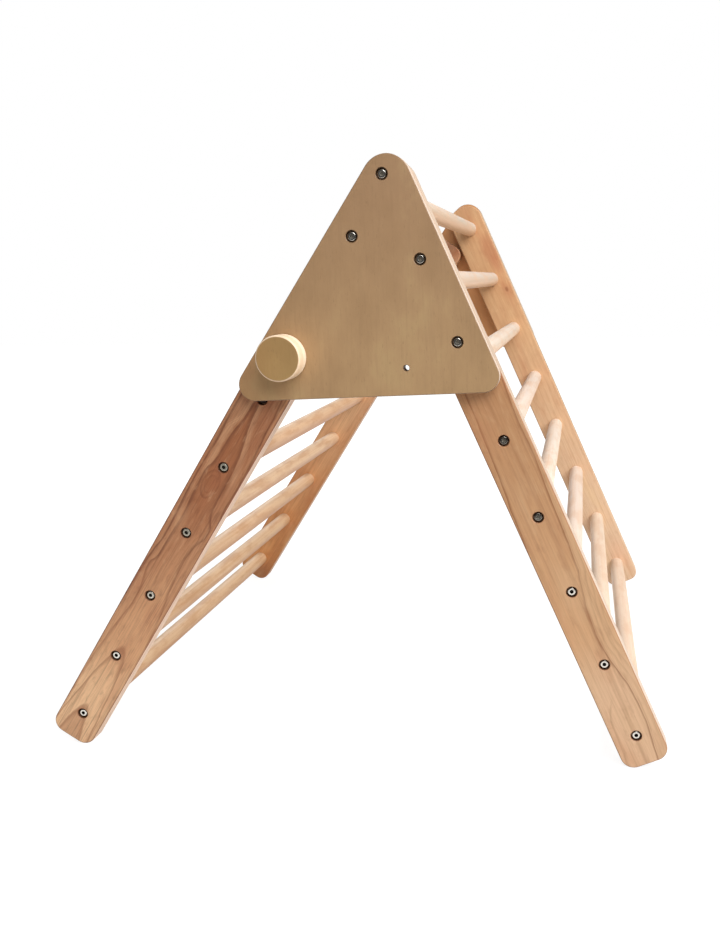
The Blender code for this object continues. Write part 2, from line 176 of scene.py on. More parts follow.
def lean_of(up):
    """Turn about Y that lays the X axis along a ladder."""
    return math.atan2(-up.z, up.x)


def outward(up):
    """Unit vector across a ladder, towards the left of the photograph."""
    return Vector((-up.z, 0.0, up.x))


def deselect():
    bpy.ops.object.select_all(action="DESELECT")


def only(item):
    deselect()
    item.select_set(True)
    bpy.context.view_layer.objects.active = item


def keep_place():
    """Put the place, turn and size of what is selected into its mesh."""
    bpy.ops.object.transform_apply(location=True, rotation=True, scale=True)


def cube(name, size, place):
    deselect()
    bpy.ops.mesh.primitive_cube_add(size=1.0, location=place)
    item = bpy.context.object
    item.name = name
    item.scale = size
    keep_place()
    return item


def rod(name, radius, length, place=(0.0, 0.0, 0.0), sides=HOLE_SIDES):
    """A cylinder along Y, its middle at a place."""
    deselect()
    bpy.ops.mesh.primitive_cylinder_add(
        vertices=sides,
        radius=radius,
        depth=length,
        location=place,
        rotation=(math.pi / 2.0, 0.0, 0.0),
    )
    item = bpy.context.object
    item.name = name
    keep_place()
    return item


def turned(name, sections, place=(0.0, 0.0, 0.0), sides=HOLE_SIDES):
    """A solid turned about Y, from sections that are each a place along Y and a radius."""
    reach, radius = sections[0]
    deselect()
    bpy.ops.mesh.primitive_circle_add(
        vertices=sides,
        radius=radius,
        fill_type="NGON",
        location=(0.0, reach, 0.0),
        rotation=(math.pi / 2.0, 0.0, 0.0),
    )
    item = bpy.context.object
    item.name = name
    keep_place()
    edit(item)
    bpy.ops.mesh.select_all(action="SELECT")
    for next_reach, next_radius in sections[1:]:
        bpy.ops.mesh.extrude_region_move(
            TRANSFORM_OT_translate={"value": (0.0, next_reach - reach, 0.0)})
        growth = next_radius / radius
        bpy.ops.transform.resize(
            value=(growth, 1.0, growth), center_override=(0.0, next_reach, 0.0))
        reach, radius = next_reach, next_radius
    bpy.ops.mesh.select_all(action="SELECT")
    bpy.ops.mesh.normals_make_consistent(inside=False)
    done()
    item.location = place
    keep_place()
    return item


def gather(items):
    """Join separate items into one."""
    deselect()
    for item in items:
        item.select_set(True)
    bpy.context.view_layer.objects.active = items[0]
    bpy.ops.object.join()
    return items[0]


def edit(item):
    only(item)
    bpy.ops.object.mode_set(mode="EDIT")


def done():
    bpy.ops.object.mode_set(mode="OBJECT")


def pick(item, kind, test):
    """In edit mode, select only the edges or faces that pass a test."""
    bpy.ops.mesh.select_mode(type=kind)
    bpy.ops.mesh.select_all(action="DESELECT")
    mesh = bmesh.from_edit_mesh(item.data)
    for part in list(mesh.edges if kind == "EDGE" else mesh.faces):
        if test(part):
            part.select_set(True)
    bmesh.update_edit_mesh(item.data)


def pick_rims(item, half, centre=0.0, radius=0.0):
    """Select the edges that lie in the two faces across Y, and no nearer the axis than a radius."""
    pick(item, "EDGE", lambda edge: abs(edge.verts[0].co.y - edge.verts[1].co.y) < TINY and all(
        abs(abs(v.co.y - centre) - half) < TINY and math.hypot(v.co.x, v.co.z) > radius - TINY
        for v in edge.verts))


def mark_faces(item, name, test):
    """Give a mesh an attribute that is one on the faces that pass a test and zero on the others."""
    mark = item.data.attributes.new(name, "FLOAT", "FACE")
    for face in item.data.polygons:
        mark.data[face.index].value = 1.0 if test(face) else 0.0


def bevel(offset, segments, profile=0.5):
    bpy.ops.mesh.bevel(
        offset=offset, segments=segments, profile=profile, affect="EDGES", clamp_overlap=False)


def round_corner(radius, angle, segments):
    """Bevel the selected corners between faces at an angle with a true arc of a radius."""
    half = angle / 2.0
    profile = (1.0 - 0.5 / (1.0 + math.sin(half))) ** 2
    bevel(radius / math.tan(half), segments, profile)


def apply_modifier(item, modifier):
    only(item)
    bpy.ops.object.modifier_apply(modifier=modifier.name)


def combine(item, tool, operation="DIFFERENCE"):
    """Cut a tool out of an item, or join it on, and delete the tool."""
    cut = item.modifiers.new("cut", "BOOLEAN")
    cut.operation = operation
    cut.object = tool
    cut.solver = "EXACT"
    apply_modifier(item, cut)
    bpy.data.objects.remove(tool, do_unlink=True)


def smooth(item):
    """Round faces shade smoothly and flat ones stay flat."""
    only(item)
    bpy.ops.object.shade_smooth_by_angle(angle=SMOOTH_ANGLE)
    weights = item.modifiers.new("even shading", "WEIGHTED_NORMAL")
    weights.keep_sharp = True
    apply_modifier(item, weights)


def settle(item, place, lean=0.0, turn=0.0):
    """Turn a finished piece about Y and then Z, move it, and keep that in its mesh."""
    only(item)
    item.matrix_world = (
        Matrix.Translation(place) @ Matrix.Rotation(turn, 4, "Z") @ Matrix.Rotation(lean, 4, "Y")
    )
    keep_place()


def dress(item, finish, slot, body, *nodes):
    """Give a piece its material, its body and the nodes it stands for. The slot is not used."""
    item.data.materials.clear()
    item.data.materials.append(finish)
    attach(item, body)
    if nodes:
        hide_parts(*nodes)


def copy_of(item, name):
    twin = item.copy()
    twin.data = item.data.copy()
    twin.name = name
    bpy.context.scene.collection.objects.link(twin)
    return twin


# Materials


def tint(red, green, blue):
    """A colour as it looks on screen, from 0 to 255, as Blender's linear values."""
    linear = []
    for value in (red, green, blue):
        share = value / 255.0
        linear.append(share / 12.92 if share <= 0.04045 else ((share + 0.055) / 1.055) ** 2.4)
    return (*linear, 1.0)


def feed(tree, socket, value):
    """Link a socket to another one, or else give it a value."""
    if isinstance(value, bpy.types.NodeSocket):
        tree.links.new(value, socket)
    else:
        socket.default_value = value


def add_node(tree, kind, inputs):
    """Add a shader node and feed its inputs, by their names or numbers."""
    item = tree.nodes.new(f"ShaderNode{kind}")
    for name, value in inputs.items():
        feed(tree, item.inputs[name], value)
    return item


# A mix node's colour sockets, which share their names with its number and vector sockets
MIX_FIRST, MIX_SECOND, MIX_RESULT = 6, 7, 2


class Finish:
    """A procedural material. Each method adds a node and gives back the socket to read."""

    def __init__(self, name, roughness, metallic=0.0):
        self.material = bpy.data.materials.new(name)
        self.material.use_nodes = True
        self.tree = self.material.node_tree
        self.shader = self.tree.nodes["Principled BSDF"]
        self.feed("Roughness", roughness)
        self.feed("Metallic", metallic)

    def feed(self, name, value):
        feed(self.tree, self.shader.inputs[name], value)

    def node(self, kind, inputs):
        return add_node(self.tree, kind, inputs)

    def place(self, at=(0.0, 0.0, 0.0), lean=0.0):
        """Coordinates in metres from a point, with X laid along a leaning ladder."""
        mapping = self.node("Mapping", {
            "Vector": self.node("TexCoord", {}).outputs["Object"],
            "Location": at,
            "Rotation": (0.0, lean, 0.0),
        })
        mapping.vector_type = "TEXTURE"
        return mapping.outputs["Vector"]

    def stretch(self, vector, scale, shift=(0.0, 0.0, 0.0)):
        inputs = {"Vector": vector, "Scale": scale, "Location": shift}
        return self.node("Mapping", inputs).outputs["Vector"]

    def parts(self, vector):
        split = self.node("SeparateXYZ", {0: vector})
        return split.outputs["X"], split.outputs["Y"], split.outputs["Z"]

    def normal(self):
        """The three parts of the direction that the surface faces."""
        return self.parts(self.node("TexCoord", {}).outputs["Normal"])

    def noise(self, vector, waves, detail, roughness, shift=(0.0, 0.0, 0.0), distortion=0.0):
        """Noise with so many waves to a metre along each axis."""
        return self.node("TexNoise", {
            "Vector": self.stretch(vector, waves, shift),
            "Scale": 1.0,
            "Detail": detail,
            "Roughness": roughness,
            "Distortion": distortion,
        }).outputs["Fac"]

    def math(self, operation, first, second=0.0):
        step = self.node("Math", {0: first, 1: second})
        step.operation = operation
        return step.outputs[0]

    def add(self, first, second):
        return self.math("ADD", first, second)

    def minus(self, first, second):
        return self.math("SUBTRACT", first, second)

    def times(self, first, second):
        return self.math("MULTIPLY", first, second)

    def distance(self, first, second):
        return self.math("SQRT", self.add(self.times(first, first), self.times(second, second)))

    def ramp(self, value, low, high, from_value=0.0, to_value=1.0):
        """Smooth change from one value to another as the input goes from low to high."""
        step = self.node("MapRange", {
            "Value": value,
            "From Min": low,
            "From Max": high,
            "To Min": from_value,
            "To Max": to_value,
        })
        step.interpolation_type = "SMOOTHSTEP"
        return step.outputs["Result"]

    def course(self, along, points):
        """A smooth line through points: how far across the board it lies at a place along it."""
        first, last = points[0][0], points[-1][0]
        low = min(across for _, across in points)
        high = max(across for _, across in points)
        share = self.math("DIVIDE", self.add(along, -first), last - first)
        curve = self.node("FloatCurve", {"Value": share})
        line = curve.mapping.curves[0]
        spots = [((run - first) / (last - first), (across - low) / (high - low))
                 for run, across in points]
        line.points[0].location = spots[0]
        line.points[-1].location = spots[-1]
        for spot in spots[1:-1]:
            line.points.new(*spot)
        curve.mapping.update()
        return self.add(self.times(curve.outputs["Value"], high - low), low)

    def mix(self, factor, first, second):
        """The first colour where the factor is zero, the second where it is one."""
        step = self.node("Mix", {"Factor": factor, MIX_FIRST: first, MIX_SECOND: second})
        step.data_type = "RGBA"
        return step.outputs[MIX_RESULT]

    def over(self, base, colour, where, strength):
        """A colour laid over another, where a mark is and with a strength."""
        return self.mix(self.times(where, strength), base, colour)

    def colour(self, value):
        self.feed("Base Color", value)

    def roughness(self, value):
        self.feed("Roughness", value)

    def attribute(self, name):
        mark = self.node("Attribute", {})
        mark.attribute_name = name
        return mark.outputs["Fac"]

    def bump(self, height, depth):
        relief = self.node("Bump", {"Distance": depth, "Height": height})
        self.feed("Normal", relief.outputs["Normal"])


# Grain lines of the two near rails, in millimetres: along from the lowest rung, and across towards
# the outer edge
FIXED_NEAR_LINE = (
    (-40, 13.5), (0, 17.5), (25, 19), (50, 18), (80, 14), (110, 9), (140, 6), (160, 6.5),
    (190, 10.5), (212, 14), (228, 18), (250, 19), (300, 22), (350, 25), (400, 26), (480, 29),
)
FIXED_NEAR_STREAK = ((-40, -2), (100, 4), (220, 8), (300, 9), (420, 3), (560, -2))
FIXED_NEAR_INNER_LINE = ((-40, -34), (240, -31), (300, -27.5), (350, -24), (420, -21), (560, -14))
FIXED_NEAR_ARCH = ((-40, -24), (0, -23.5), (25, -22), (45, -15), (60, -5))
SWING_NEAR_OUTER_LINE = (
    (60, 27.5), (89, 26), (105, 24.5), (136, 21.5), (160, 18.6), (190, 16.4), (211, 18), (224, 20.8),
    (236, 22.5), (247, 19.5), (260, 17), (290, 16), (322, 15.2), (345, 16.5), (382, 17),
    (402, 12.4), (448, 11), (476, 7), (560, 10),
)
SWING_NEAR_INNER_LINE = (
    (130, -33), (144, -29.5), (168, -27.5), (184, -25), (202, -22.5), (227, -19), (259, -16.6),
    (283, -18), (298, -21.5), (314, -25), (330, -20.6), (345, -16), (385, -14.5), (416, -12),
    (440, -8), (467, -2), (560, 4),
)
SWING_NEAR_SAPWOOD = (
    ((360, 20), (400, 17), (440, 19), (470, 12), (560, 4)),
    ((360, -22), (400, -18), (440, -11), (475, -4), (560, 2)),
)
SWING_NEAR_OUTER_RIM_LINE = (
    (150, 31), (230, 28), (259, 26.2), (290, 23.3), (322, 24), (448, 24.6), (487, 26), (560, 27),
)
SWING_NEAR_INNER_RIM_LINE = ((330, -30), (353, -28), (416, -27), (448, -25.3), (495, -22), (560, -16))
EYE_ALONG = 373.0
EYE_ACROSS = 3.0
EYE_HALF_LENGTH = 20.0
EYE_HALF_WIDTH = 10.5
ARCH_PEAKS = (113.0, 12.0)
ARCH_FALL = 0.21
ARCH_RING = 26.0

# Growth rings: how many lie between a near rail's two lines or to a millimetre across a far rail,
# and how many to a millimetre of depth
FIXED_NEAR_RINGS = 7.0
FIXED_NEAR_RINGS_DEEP = 0.16
SWING_NEAR_RINGS = 5.0
SWING_NEAR_RINGS_DEEP = 0.2
FAR_RINGS = 0.11
FAR_RINGS_DEEP = 0.15
RING_FADE = 0.6
RING_EDGE = 0.07
GRAIN_SWAY = 7.0

# How deep the planed and sanded surfaces' grain is, in metres, and how fine the steel's stains are
BOARD_GRAIN = 0.00006
DOWEL_GRAIN = 0.00005
VENEER_GRAIN = 0.00004
STAIN_WAVES = (700.0, 700.0, 700.0)


def ring_line(wood, away, soft, sharp):
    """The dark late wood of one growth ring: fading on one side and ending sharply on the other."""
    return wood.times(wood.ramp(away, -soft, 0.0), wood.ramp(away, 0.0, sharp, 1.0, 0.0))


def rings(wood, count):
    """Evenly counted growth rings, each darker towards its late wood."""
    share = wood.math("FRACT", count)
    return ring_line(wood, wood.add(share, RING_EDGE - 1.0), RING_FADE, RING_EDGE)


def rail_board(name, foot, up, outer, seed):
    """A planed board's coordinates in millimetres, along from its lowest rung and across towards
    its outer edge, with its figure: fibres, streaks, patches and mottle."""
    wood = Finish(name, 0.5)
    board = wood.place(foot, lean_of(up))
    along, depth, across = wood.parts(wood.stretch(board, (1000.0, 1000.0, outer * 1000.0)))
    shift = (seed, seed, 0.0)
    sway = wood.noise(board, (14.0, 40.0, 50.0), 3.0, 0.55, shift)
    across = wood.add(across, wood.times(wood.add(sway, -0.5), GRAIN_SWAY))
    figure = {
        "fibre": wood.noise(board, (28.0, 500.0, 950.0), 3.0, 0.6),
        "streak": wood.noise(board, (6.0, 160.0, 420.0), 5.0, 0.72, shift),
        "patch": wood.noise(board, (9.0, 20.0, 34.0), 3.0, 0.55, shift),
        "mottle": wood.noise(board, (45.0, 60.0, 150.0), 3.0, 0.6, shift, 0.4),
    }
    return wood, along, depth, across, figure


def arris(wood, facing):
    """One along the rounded arris between a board's face and its edge."""
    return wood.times(wood.ramp(facing, 0.35, 0.6), wood.ramp(facing, 0.85, 0.99, 1.0, 0.0))


def finish_board(
        wood, base, figure, pale, dark, warm, edge, streaked=0.26, mottled=0.2, shaded_arris=0.3):
    """Lay the fine figure over a board's broad colours, with paler edges that are painted light,
    painted shade along the arris and on the hole walls, and a planed surface.
    """
    fibre, patch, mottle = figure["fibre"], figure["patch"], figure["mottle"]
    base = wood.over(base, pale, wood.ramp(patch, 0.5, 0.72), 0.35)
    base = wood.mix(wood.ramp(patch, 0.3, 0.5, 0.4, 0.0), base, warm)
    base = wood.over(base, dark, wood.ramp(mottle, 0.52, 0.75), mottled)
    base = wood.over(base, pale, wood.ramp(mottle, 0.48, 0.2), 1.6 * mottled)
    facing = wood.math("ABSOLUTE", wood.normal()[1])
    # Painted light: the board's edges, which face the lamps, take the paler edge colour
    base = wood.mix(wood.ramp(facing, 0.2, 0.5, 0.9, 0.0), base, edge)
    # Painted shade along the rounded arris
    base = wood.over(base, dark, arris(wood, facing), shaded_arris)
    base = wood.over(base, dark, wood.ramp(figure["streak"], 0.42, 0.72), streaked)
    base = wood.over(base, dark, wood.ramp(fibre, 0.5, 0.8), 0.2)
    # Painted shade on the hole walls
    wood.colour(wood.mix(wood.attribute(HOLE_MARK), base, BOARD_HOLE_SHADE))
    wood.roughness(wood.ramp(fibre, 0.3, 0.8, 0.42, 0.58))
    wood.bump(fibre, BOARD_GRAIN)
    return wood.material


def fixed_near_wood():
    """Light board with one strong ring line that swings in from its outer edge past two rungs."""
    wood, along, depth, across, figure = rail_board(
        "fixed_rail_near_wood", FIXED_FOOT, FIXED_UP, -1.0, 3.7)
    pale, dark, warm = tint(218, 180, 140), tint(146, 92, 56), tint(196, 136, 98)
    foot, low, high = tint(231, 192, 156), tint(219, 172, 128), tint(189, 139, 96)
    main = wood.course(along, FIXED_NEAR_LINE)
    inner = wood.course(along, FIXED_NEAR_INNER_LINE)
    share = wood.math("DIVIDE", wood.minus(across, inner), wood.minus(main, inner))
    count = wood.add(wood.times(share, FIXED_NEAR_RINGS), wood.times(depth, FIXED_NEAR_RINGS_DEEP))
    beyond = wood.minus(across, main)
    below = wood.minus(inner, across)
    above_arch = wood.minus(wood.course(along, FIXED_NEAR_ARCH), across)
    past_streak = wood.minus(across, wood.course(along, FIXED_NEAR_STREAK))
    base = wood.mix(wood.ramp(along, 60.0, 560.0), low, high)
    base = wood.mix(wood.ramp(along, 60.0, 150.0, 0.85, 0.0), base, foot)
    base = wood.over(base, pale, wood.ramp(beyond, 0.0, 2.0), 0.4)
    strength = wood.times(wood.ramp(beyond, 0.0, 3.0, 0.06, 0.18),
                          wood.ramp(figure["patch"], 0.35, 0.6, 0.3, 1.3))
    base = wood.over(base, dark, rings(wood, count), strength)
    base = wood.over(base, dark, ring_line(wood, beyond, 3.2, 0.8), 0.72)
    base = wood.over(base, dark, ring_line(wood, below, 3.2, 0.9), 0.8)
    near_foot = wood.ramp(along, 40.0, 60.0, 0.3, 0.0)
    base = wood.over(base, dark, ring_line(wood, above_arch, 3.0, 1.5), near_foot)
    base = wood.over(base, dark, ring_line(wood, past_streak, 6.0, 3.0), 0.22)
    # The pale edge colour here is painted light, and the last argument sets the painted shade along
    # the arris
    return finish_board(wood, base, figure, pale, dark, warm, tint(209, 190, 170), shaded_arris=0.7)


def swing_near_wood():
    """Red-brown board: pale sapwood along the outer edge, an eye, and arches at the foot."""
    wood, along, depth, across, figure = rail_board(
        "swing_rail_near_wood", SWING_FOOT, SWING_UP, 1.0, 5.3)
    pale, dark, warm = tint(220, 170, 128), tint(112, 62, 38), tint(178, 108, 72)
    red, russet, tan = tint(173, 109, 70), tint(150, 88, 54), tint(227, 172, 127)
    foot, sapwood = tint(254, 208, 162), tint(222, 170, 128)
    outer_band, inner_band = tint(206, 152, 112), tint(190, 135, 98)
    outer = wood.course(along, SWING_NEAR_OUTER_LINE)
    inner = wood.course(along, SWING_NEAR_INNER_LINE)
    share = wood.math("DIVIDE", wood.minus(across, inner), wood.minus(outer, inner))
    beyond = wood.minus(across, outer)
    below = wood.minus(inner, across)
    upper = wood.ramp(along, 190.0, 250.0)
    eye = wood.distance(wood.times(wood.add(along, -EYE_ALONG), 1.0 / EYE_HALF_LENGTH),
                        wood.times(wood.add(across, -EYE_ACROSS), 1.0 / EYE_HALF_WIDTH))
    swell = wood.ramp(eye, 0.0, 2.2, 1.3, 0.0)
    through = wood.times(depth, SWING_NEAR_RINGS_DEEP)
    count = wood.add(wood.add(wood.times(share, SWING_NEAR_RINGS), swell), through)
    axis = wood.minus(across, wood.ramp(along, -40.0, 120.0, 3.0, -4.0))
    arch = wood.add(wood.times(wood.times(axis, axis), ARCH_FALL), along)
    arches = wood.add(wood.times(wood.add(arch, -ARCH_PEAKS[0]), 1.0 / ARCH_RING), through)
    base = wood.mix(wood.ramp(wood.add(along, wood.times(share, 60.0)), 150.0, 420.0), tan, red)
    base = wood.mix(wood.ramp(along, 30.0, 130.0, 0.9, 0.0), base, foot)
    base = wood.over(base, outer_band, wood.ramp(beyond, -4.0, 6.0), 0.5)
    for line in SWING_NEAR_SAPWOOD:
        off_line = wood.math("ABSOLUTE", wood.minus(across, wood.course(along, line)))
        band = wood.ramp(off_line, 1.0, 5.0, 0.6, 0.0)
        base = wood.over(base, sapwood, band, wood.ramp(along, 360.0, 400.0))
    base = wood.over(base, inner_band, wood.ramp(below, -1.0, 3.0), 0.4)
    strength = wood.times(upper, wood.ramp(figure["patch"], 0.35, 0.6, 0.08, 0.3))
    base = wood.over(base, russet, rings(wood, count), strength)
    base = wood.over(base, dark, rings(wood, arches), wood.ramp(upper, 0.0, 1.0, 0.04, 0.0))
    for peak in ARCH_PEAKS:
        base = wood.over(base, russet, ring_line(wood, wood.add(arch, -peak), 24.0, 8.0), 0.55)
    base = wood.over(base, dark, ring_line(wood, wood.add(eye, -1.0), 0.25, 0.08), 0.42)
    base = wood.over(base, dark, ring_line(wood, wood.add(eye, -0.63), 0.15, 0.06), 0.25)
    line_tone = wood.mix(upper, russet, dark)
    strength = wood.ramp(along, 230.0, 330.0, 0.55, 0.66)
    for away in (beyond, below):
        base = wood.over(base, line_tone, ring_line(wood, away, 4.8, 1.2), strength)
    for line, way in ((SWING_NEAR_OUTER_RIM_LINE, 1.0), (SWING_NEAR_INNER_RIM_LINE, -1.0)):
        past = wood.times(wood.minus(across, wood.course(along, line)), way)
        base = wood.over(base, dark, ring_line(wood, past, 2.6, 1.6), 0.75)
    base = wood.mix(wood.ramp(arch, ARCH_PEAKS[1] - 4.0, ARCH_PEAKS[1], 0.45, 0.0), base, red)
    # The pale edge colour here is painted light, and the last number sets the painted shade along the
    # arris
    return finish_board(
        wood, base, figure, pale, dark, warm, tint(255, 221, 194), 0.45, 0.3, 0.7)


def oval(wood, along, across, place, radius, soft):
    """One inside an oval drawn out along the board, fading over a soft rim."""
    away = wood.distance(wood.times(wood.add(along, -place[0]), 0.6), wood.add(across, -place[1]))
    return wood.ramp(away, radius, radius + soft, 1.0, 0.0)


def far_wood(
        name, foot, up, outer, seed, foot_tone, top_tone, pale, dark, warm, edge, inner_shade, marks):
    """Plain board with soft, nearly straight rings, darker towards its inner edge by a share, which is
    painted shade. A mark is a place, a radius, a soft rim, a strength and a colour; some marks are
    painted shade."""
    wood, along, depth, across, figure = rail_board(name, foot, up, outer, seed)
    count = wood.add(wood.times(across, FAR_RINGS), wood.times(depth, FAR_RINGS_DEEP))
    base = wood.mix(wood.ramp(along, 0.0, 620.0), foot_tone, top_tone)
    # Painted shade towards the inner edge
    base = wood.mix(wood.ramp(across, -26.0, 2.0, inner_shade, 0.0), base, dark)
    base = wood.over(base, dark, rings(wood, count), 0.1)
    for place, radius, soft, strength, colour in marks:
        base = wood.over(base, colour, oval(wood, along, across, place, radius, soft), strength)
    return finish_board(wood, base, figure, pale, dark, warm, edge)


def beech(name, foot, up, pale, warm, streaked, flecked, above, under):
    """Pale dowel wood with short flecks along the grain and every other rung warmer, more orange low
    on the frame, with painted shade that darkens it towards the top of the frame, a painted highlight
    that makes it paler above, and painted shade that makes its underside more orange."""
    wood = Finish(name, 0.5)
    board = wood.place()
    height = wood.parts(board)[2]
    facing_up = wood.normal()[2]
    along = wood.parts(wood.place(foot, lean_of(up)))[0]
    tone = wood.math("PINGPONG", wood.times(along, 1.0 / RUNG_SPACING), 1.0)
    tone = wood.add(wood.times(tone, -0.5), wood.noise(board, (23.0, 0.0, 23.0), 1.0, 0.5))
    mottle = wood.noise(board, (60.0, 14.0, 60.0), 3.0, 0.6)
    streak = wood.noise(board, (260.0, 5.0, 260.0), 3.0, 0.55)
    fleck = wood.noise(board, (900.0, 110.0, 900.0), 2.0, 0.6)
    base = wood.mix(wood.ramp(tone, 0.0, 0.5), pale, warm)
    # Painted shade: duller towards the top of the frame
    base = wood.mix(wood.ramp(height, 0.34, 0.66, 0.0, 0.85), base, SHADED_BEECH)
    base = wood.mix(wood.ramp(height, 0.16, 0.26, 0.65, 0.0), base, LOW_BEECH)
    # Painted highlight on the upper side, and painted shade, more orange, on the underside
    base = wood.mix(wood.ramp(facing_up, 0.1, 0.9, 0.0, 0.4), base, above)
    base = wood.mix(wood.ramp(facing_up, -0.7, 0.35, 0.75, 0.0), base, under)
    base = wood.over(base, streaked, wood.ramp(mottle, 0.42, 0.66), 0.5)
    base = wood.over(base, streaked, wood.ramp(streak, 0.4, 0.75), 0.35)
    base = wood.over(base, flecked, wood.ramp(fleck, 0.58, 0.75), 0.3)
    wood.colour(base)
    wood.roughness(wood.ramp(streak, 0.3, 0.8, 0.42, 0.56))
    wood.bump(fleck, DOWEL_GRAIN)
    return wood.material


def veneer(
        name, seed, top, bottom, dark, back, rim_light, rim_dark, layer, rim_from, arris_shade):
    """Plywood: a fine upright grain on the faces, a warmer back towards the middle of the frame that
    is painted warm bounce light, painted warm shade towards the knob's side, painted shade along the
    arris, and the layers' edges round the rim."""
    wood = Finish(name, 0.5)
    board = wood.place()
    x, y, z = wood.parts(board)
    shift = (seed, 0.0, 0.0)
    cloud = wood.noise(board, (16.0, 1.0, 9.0), 4.0, 0.6, shift)
    grain = wood.noise(board, (420.0, 420.0, 22.0), 3.0, 0.6, shift)
    fleck = wood.noise(board, (700.0, 700.0, 130.0), 2.0, 0.6)
    face = wood.mix(wood.ramp(z, 0.46, 0.72), bottom, top)
    face = wood.mix(wood.ramp(cloud, 0.35, 0.72, 0.0, 0.5), face, dark)
    # Painted warm shade towards the left, around the knob
    face = wood.mix(wood.ramp(x, -0.11, -0.03, 0.35, 0.0), face, WARM_SHADE_VENEER)
    face = wood.mix(wood.ramp(cloud, 0.45, 0.3, 0.0, 0.45), face, PALE_VENEER)
    face = wood.over(face, dark, wood.ramp(grain, 0.45, 0.8), 0.22)
    face = wood.over(face, VENEER_FLECK, wood.ramp(fleck, 0.6, 0.75), 0.3)
    normal_y = wood.normal()[1]
    # Painted warm bounce light: the inner faces are warmer
    face = wood.mix(wood.ramp(wood.times(y, normal_y), -0.3, -0.1, 0.75, 0.0), face, back)
    layers = wood.math("FRACT", wood.times(y, 0.5 / layer))
    rim = wood.mix(wood.ramp(layers, 0.46, 0.54), rim_light, rim_dark)
    facing = wood.math("ABSOLUTE", normal_y)
    whole = wood.mix(wood.ramp(facing, rim_from, rim_from + 0.09), rim, face)
    # Painted shade along the rounded arris
    whole = wood.over(whole, VENEER_ARRIS_SHADE, arris(wood, facing), arris_shade)
    # Painted shade on the hole walls
    wood.colour(wood.mix(wood.attribute(HOLE_MARK), whole, PANEL_HOLE_SHADE))
    wood.roughness(wood.ramp(grain, 0.3, 0.8, 0.45, 0.6))
    wood.bump(grain, VENEER_GRAIN)
    return wood.material


def plated_steel():
    """Plated steel with faint stains, with painted light and shade by place. Low on the frame the
    heads are bright and the sockets painted dark with shade. Above, the sockets are painted a lit grey
    and a band of heads a dim reflection, and up the swing ladder both are painted a matt pale grey for
    the light they catch."""
    metal = Finish("plated_steel", 0.2, 1.0)
    point = metal.place()
    x, _, z = metal.parts(point)
    stain = metal.noise(point, STAIN_WAVES, 3.0, 0.6)
    inside = metal.attribute(SOCKET_MARK)
    rise = metal.add(z, metal.times(x, 0.3))
    # Painted light and shade by height: low sockets are painted dark with shade, higher ones a lit
    # grey
    upper = metal.ramp(rise, 0.34, 0.38)
    # Painted dim reflection on a band of heads
    painted_dim_band = metal.times(upper, metal.ramp(rise, 0.5, 0.54, 0.6, 0.0))
    # Painted light: a matt pale grey up the swing ladder, which is not wear
    painted_pale_grey = metal.times(metal.ramp(x, -0.1, -0.05, 0.6, 0.0), metal.ramp(z, 0.15, 0.25))
    head = metal.mix(metal.ramp(stain, 0.35, 0.7), tint(234, 230, 220), tint(206, 200, 190))
    head = metal.mix(painted_dim_band, head, tint(100, 92, 80))
    head = metal.mix(painted_pale_grey, head, tint(176, 170, 148))
    socket = metal.mix(upper, tint(34, 30, 27), tint(150, 144, 132))
    socket = metal.mix(painted_pale_grey, socket, tint(100, 95, 84))
    metal.colour(metal.mix(inside, head, socket))
    matt = metal.math("MAXIMUM", metal.times(inside, upper), painted_pale_grey)
    metal.feed("Metallic", metal.minus(1.0, matt))
    metal.roughness(metal.ramp(stain, 0.3, 0.7, 0.14, 0.3))
    return metal.material


def shade_dark_steel():
    """Dull, nearly black steel with faint stains: painted shade for the screws under and beside the
    panels.
    """
    metal = Finish("shade_dark_steel", 0.8)
    stain = metal.noise(metal.place(), STAIN_WAVES, 3.0, 0.6)
    metal.colour(metal.mix(metal.ramp(stain, 0.35, 0.7), tint(46, 24, 14), tint(30, 15, 9)))
    return metal.material


# Painted shade for the hole walls, and colours that both beeches or both veneers share, some of them
# painted shade
BOARD_HOLE_SHADE = tint(104, 68, 44)
PANEL_HOLE_SHADE = tint(100, 74, 50)
# Painted shade for the top rungs
SHADED_BEECH = tint(200, 183, 165)
LOW_BEECH = tint(225, 187, 142)
# Painted warm shade by the knob
WARM_SHADE_VENEER = tint(176, 118, 68)
PALE_VENEER = tint(188, 158, 112)
VENEER_FLECK = tint(132, 98, 66)
# Painted shade for the plywood's arris
VENEER_ARRIS_SHADE = tint(110, 78, 50)

FIXED_NEAR = fixed_near_wood()
SWING_NEAR = swing_near_wood()
FIXED_FAR = far_wood(
    "fixed_rail_far_wood", FIXED_FOOT, FIXED_UP, outer=-1.0, seed=8.1,
    foot_tone=tint(230, 199, 166),
    top_tone=tint(205, 160, 116),
    pale=tint(236, 202, 154),
    dark=tint(164, 100, 56),
    warm=tint(200, 142, 102),
    # The edge colour is painted light
    edge=tint(204, 172, 136),
    inner_shade=0.0,
    marks=(
        ((572.0, 19.0), 1.2, 3.0, 0.95, tint(96, 44, 22)),
        ((572.0, 19.0), 2.0, 14.0, 0.35, tint(176, 108, 66)),
        ((650.0, 20.0), 8.0, 16.0, 0.5, tint(178, 106, 70)),
        ((622.0, 20.0), 3.0, 12.0, 0.4, tint(186, 112, 76)),
        # Painted shade over the inner side of the top end
        ((735.0, -6.0), 12.0, 22.0, 0.35, tint(184, 132, 92)),
        ((20.0, 12.0), 4.0, 26.0, 0.3, tint(226, 164, 130)),
    ),
)
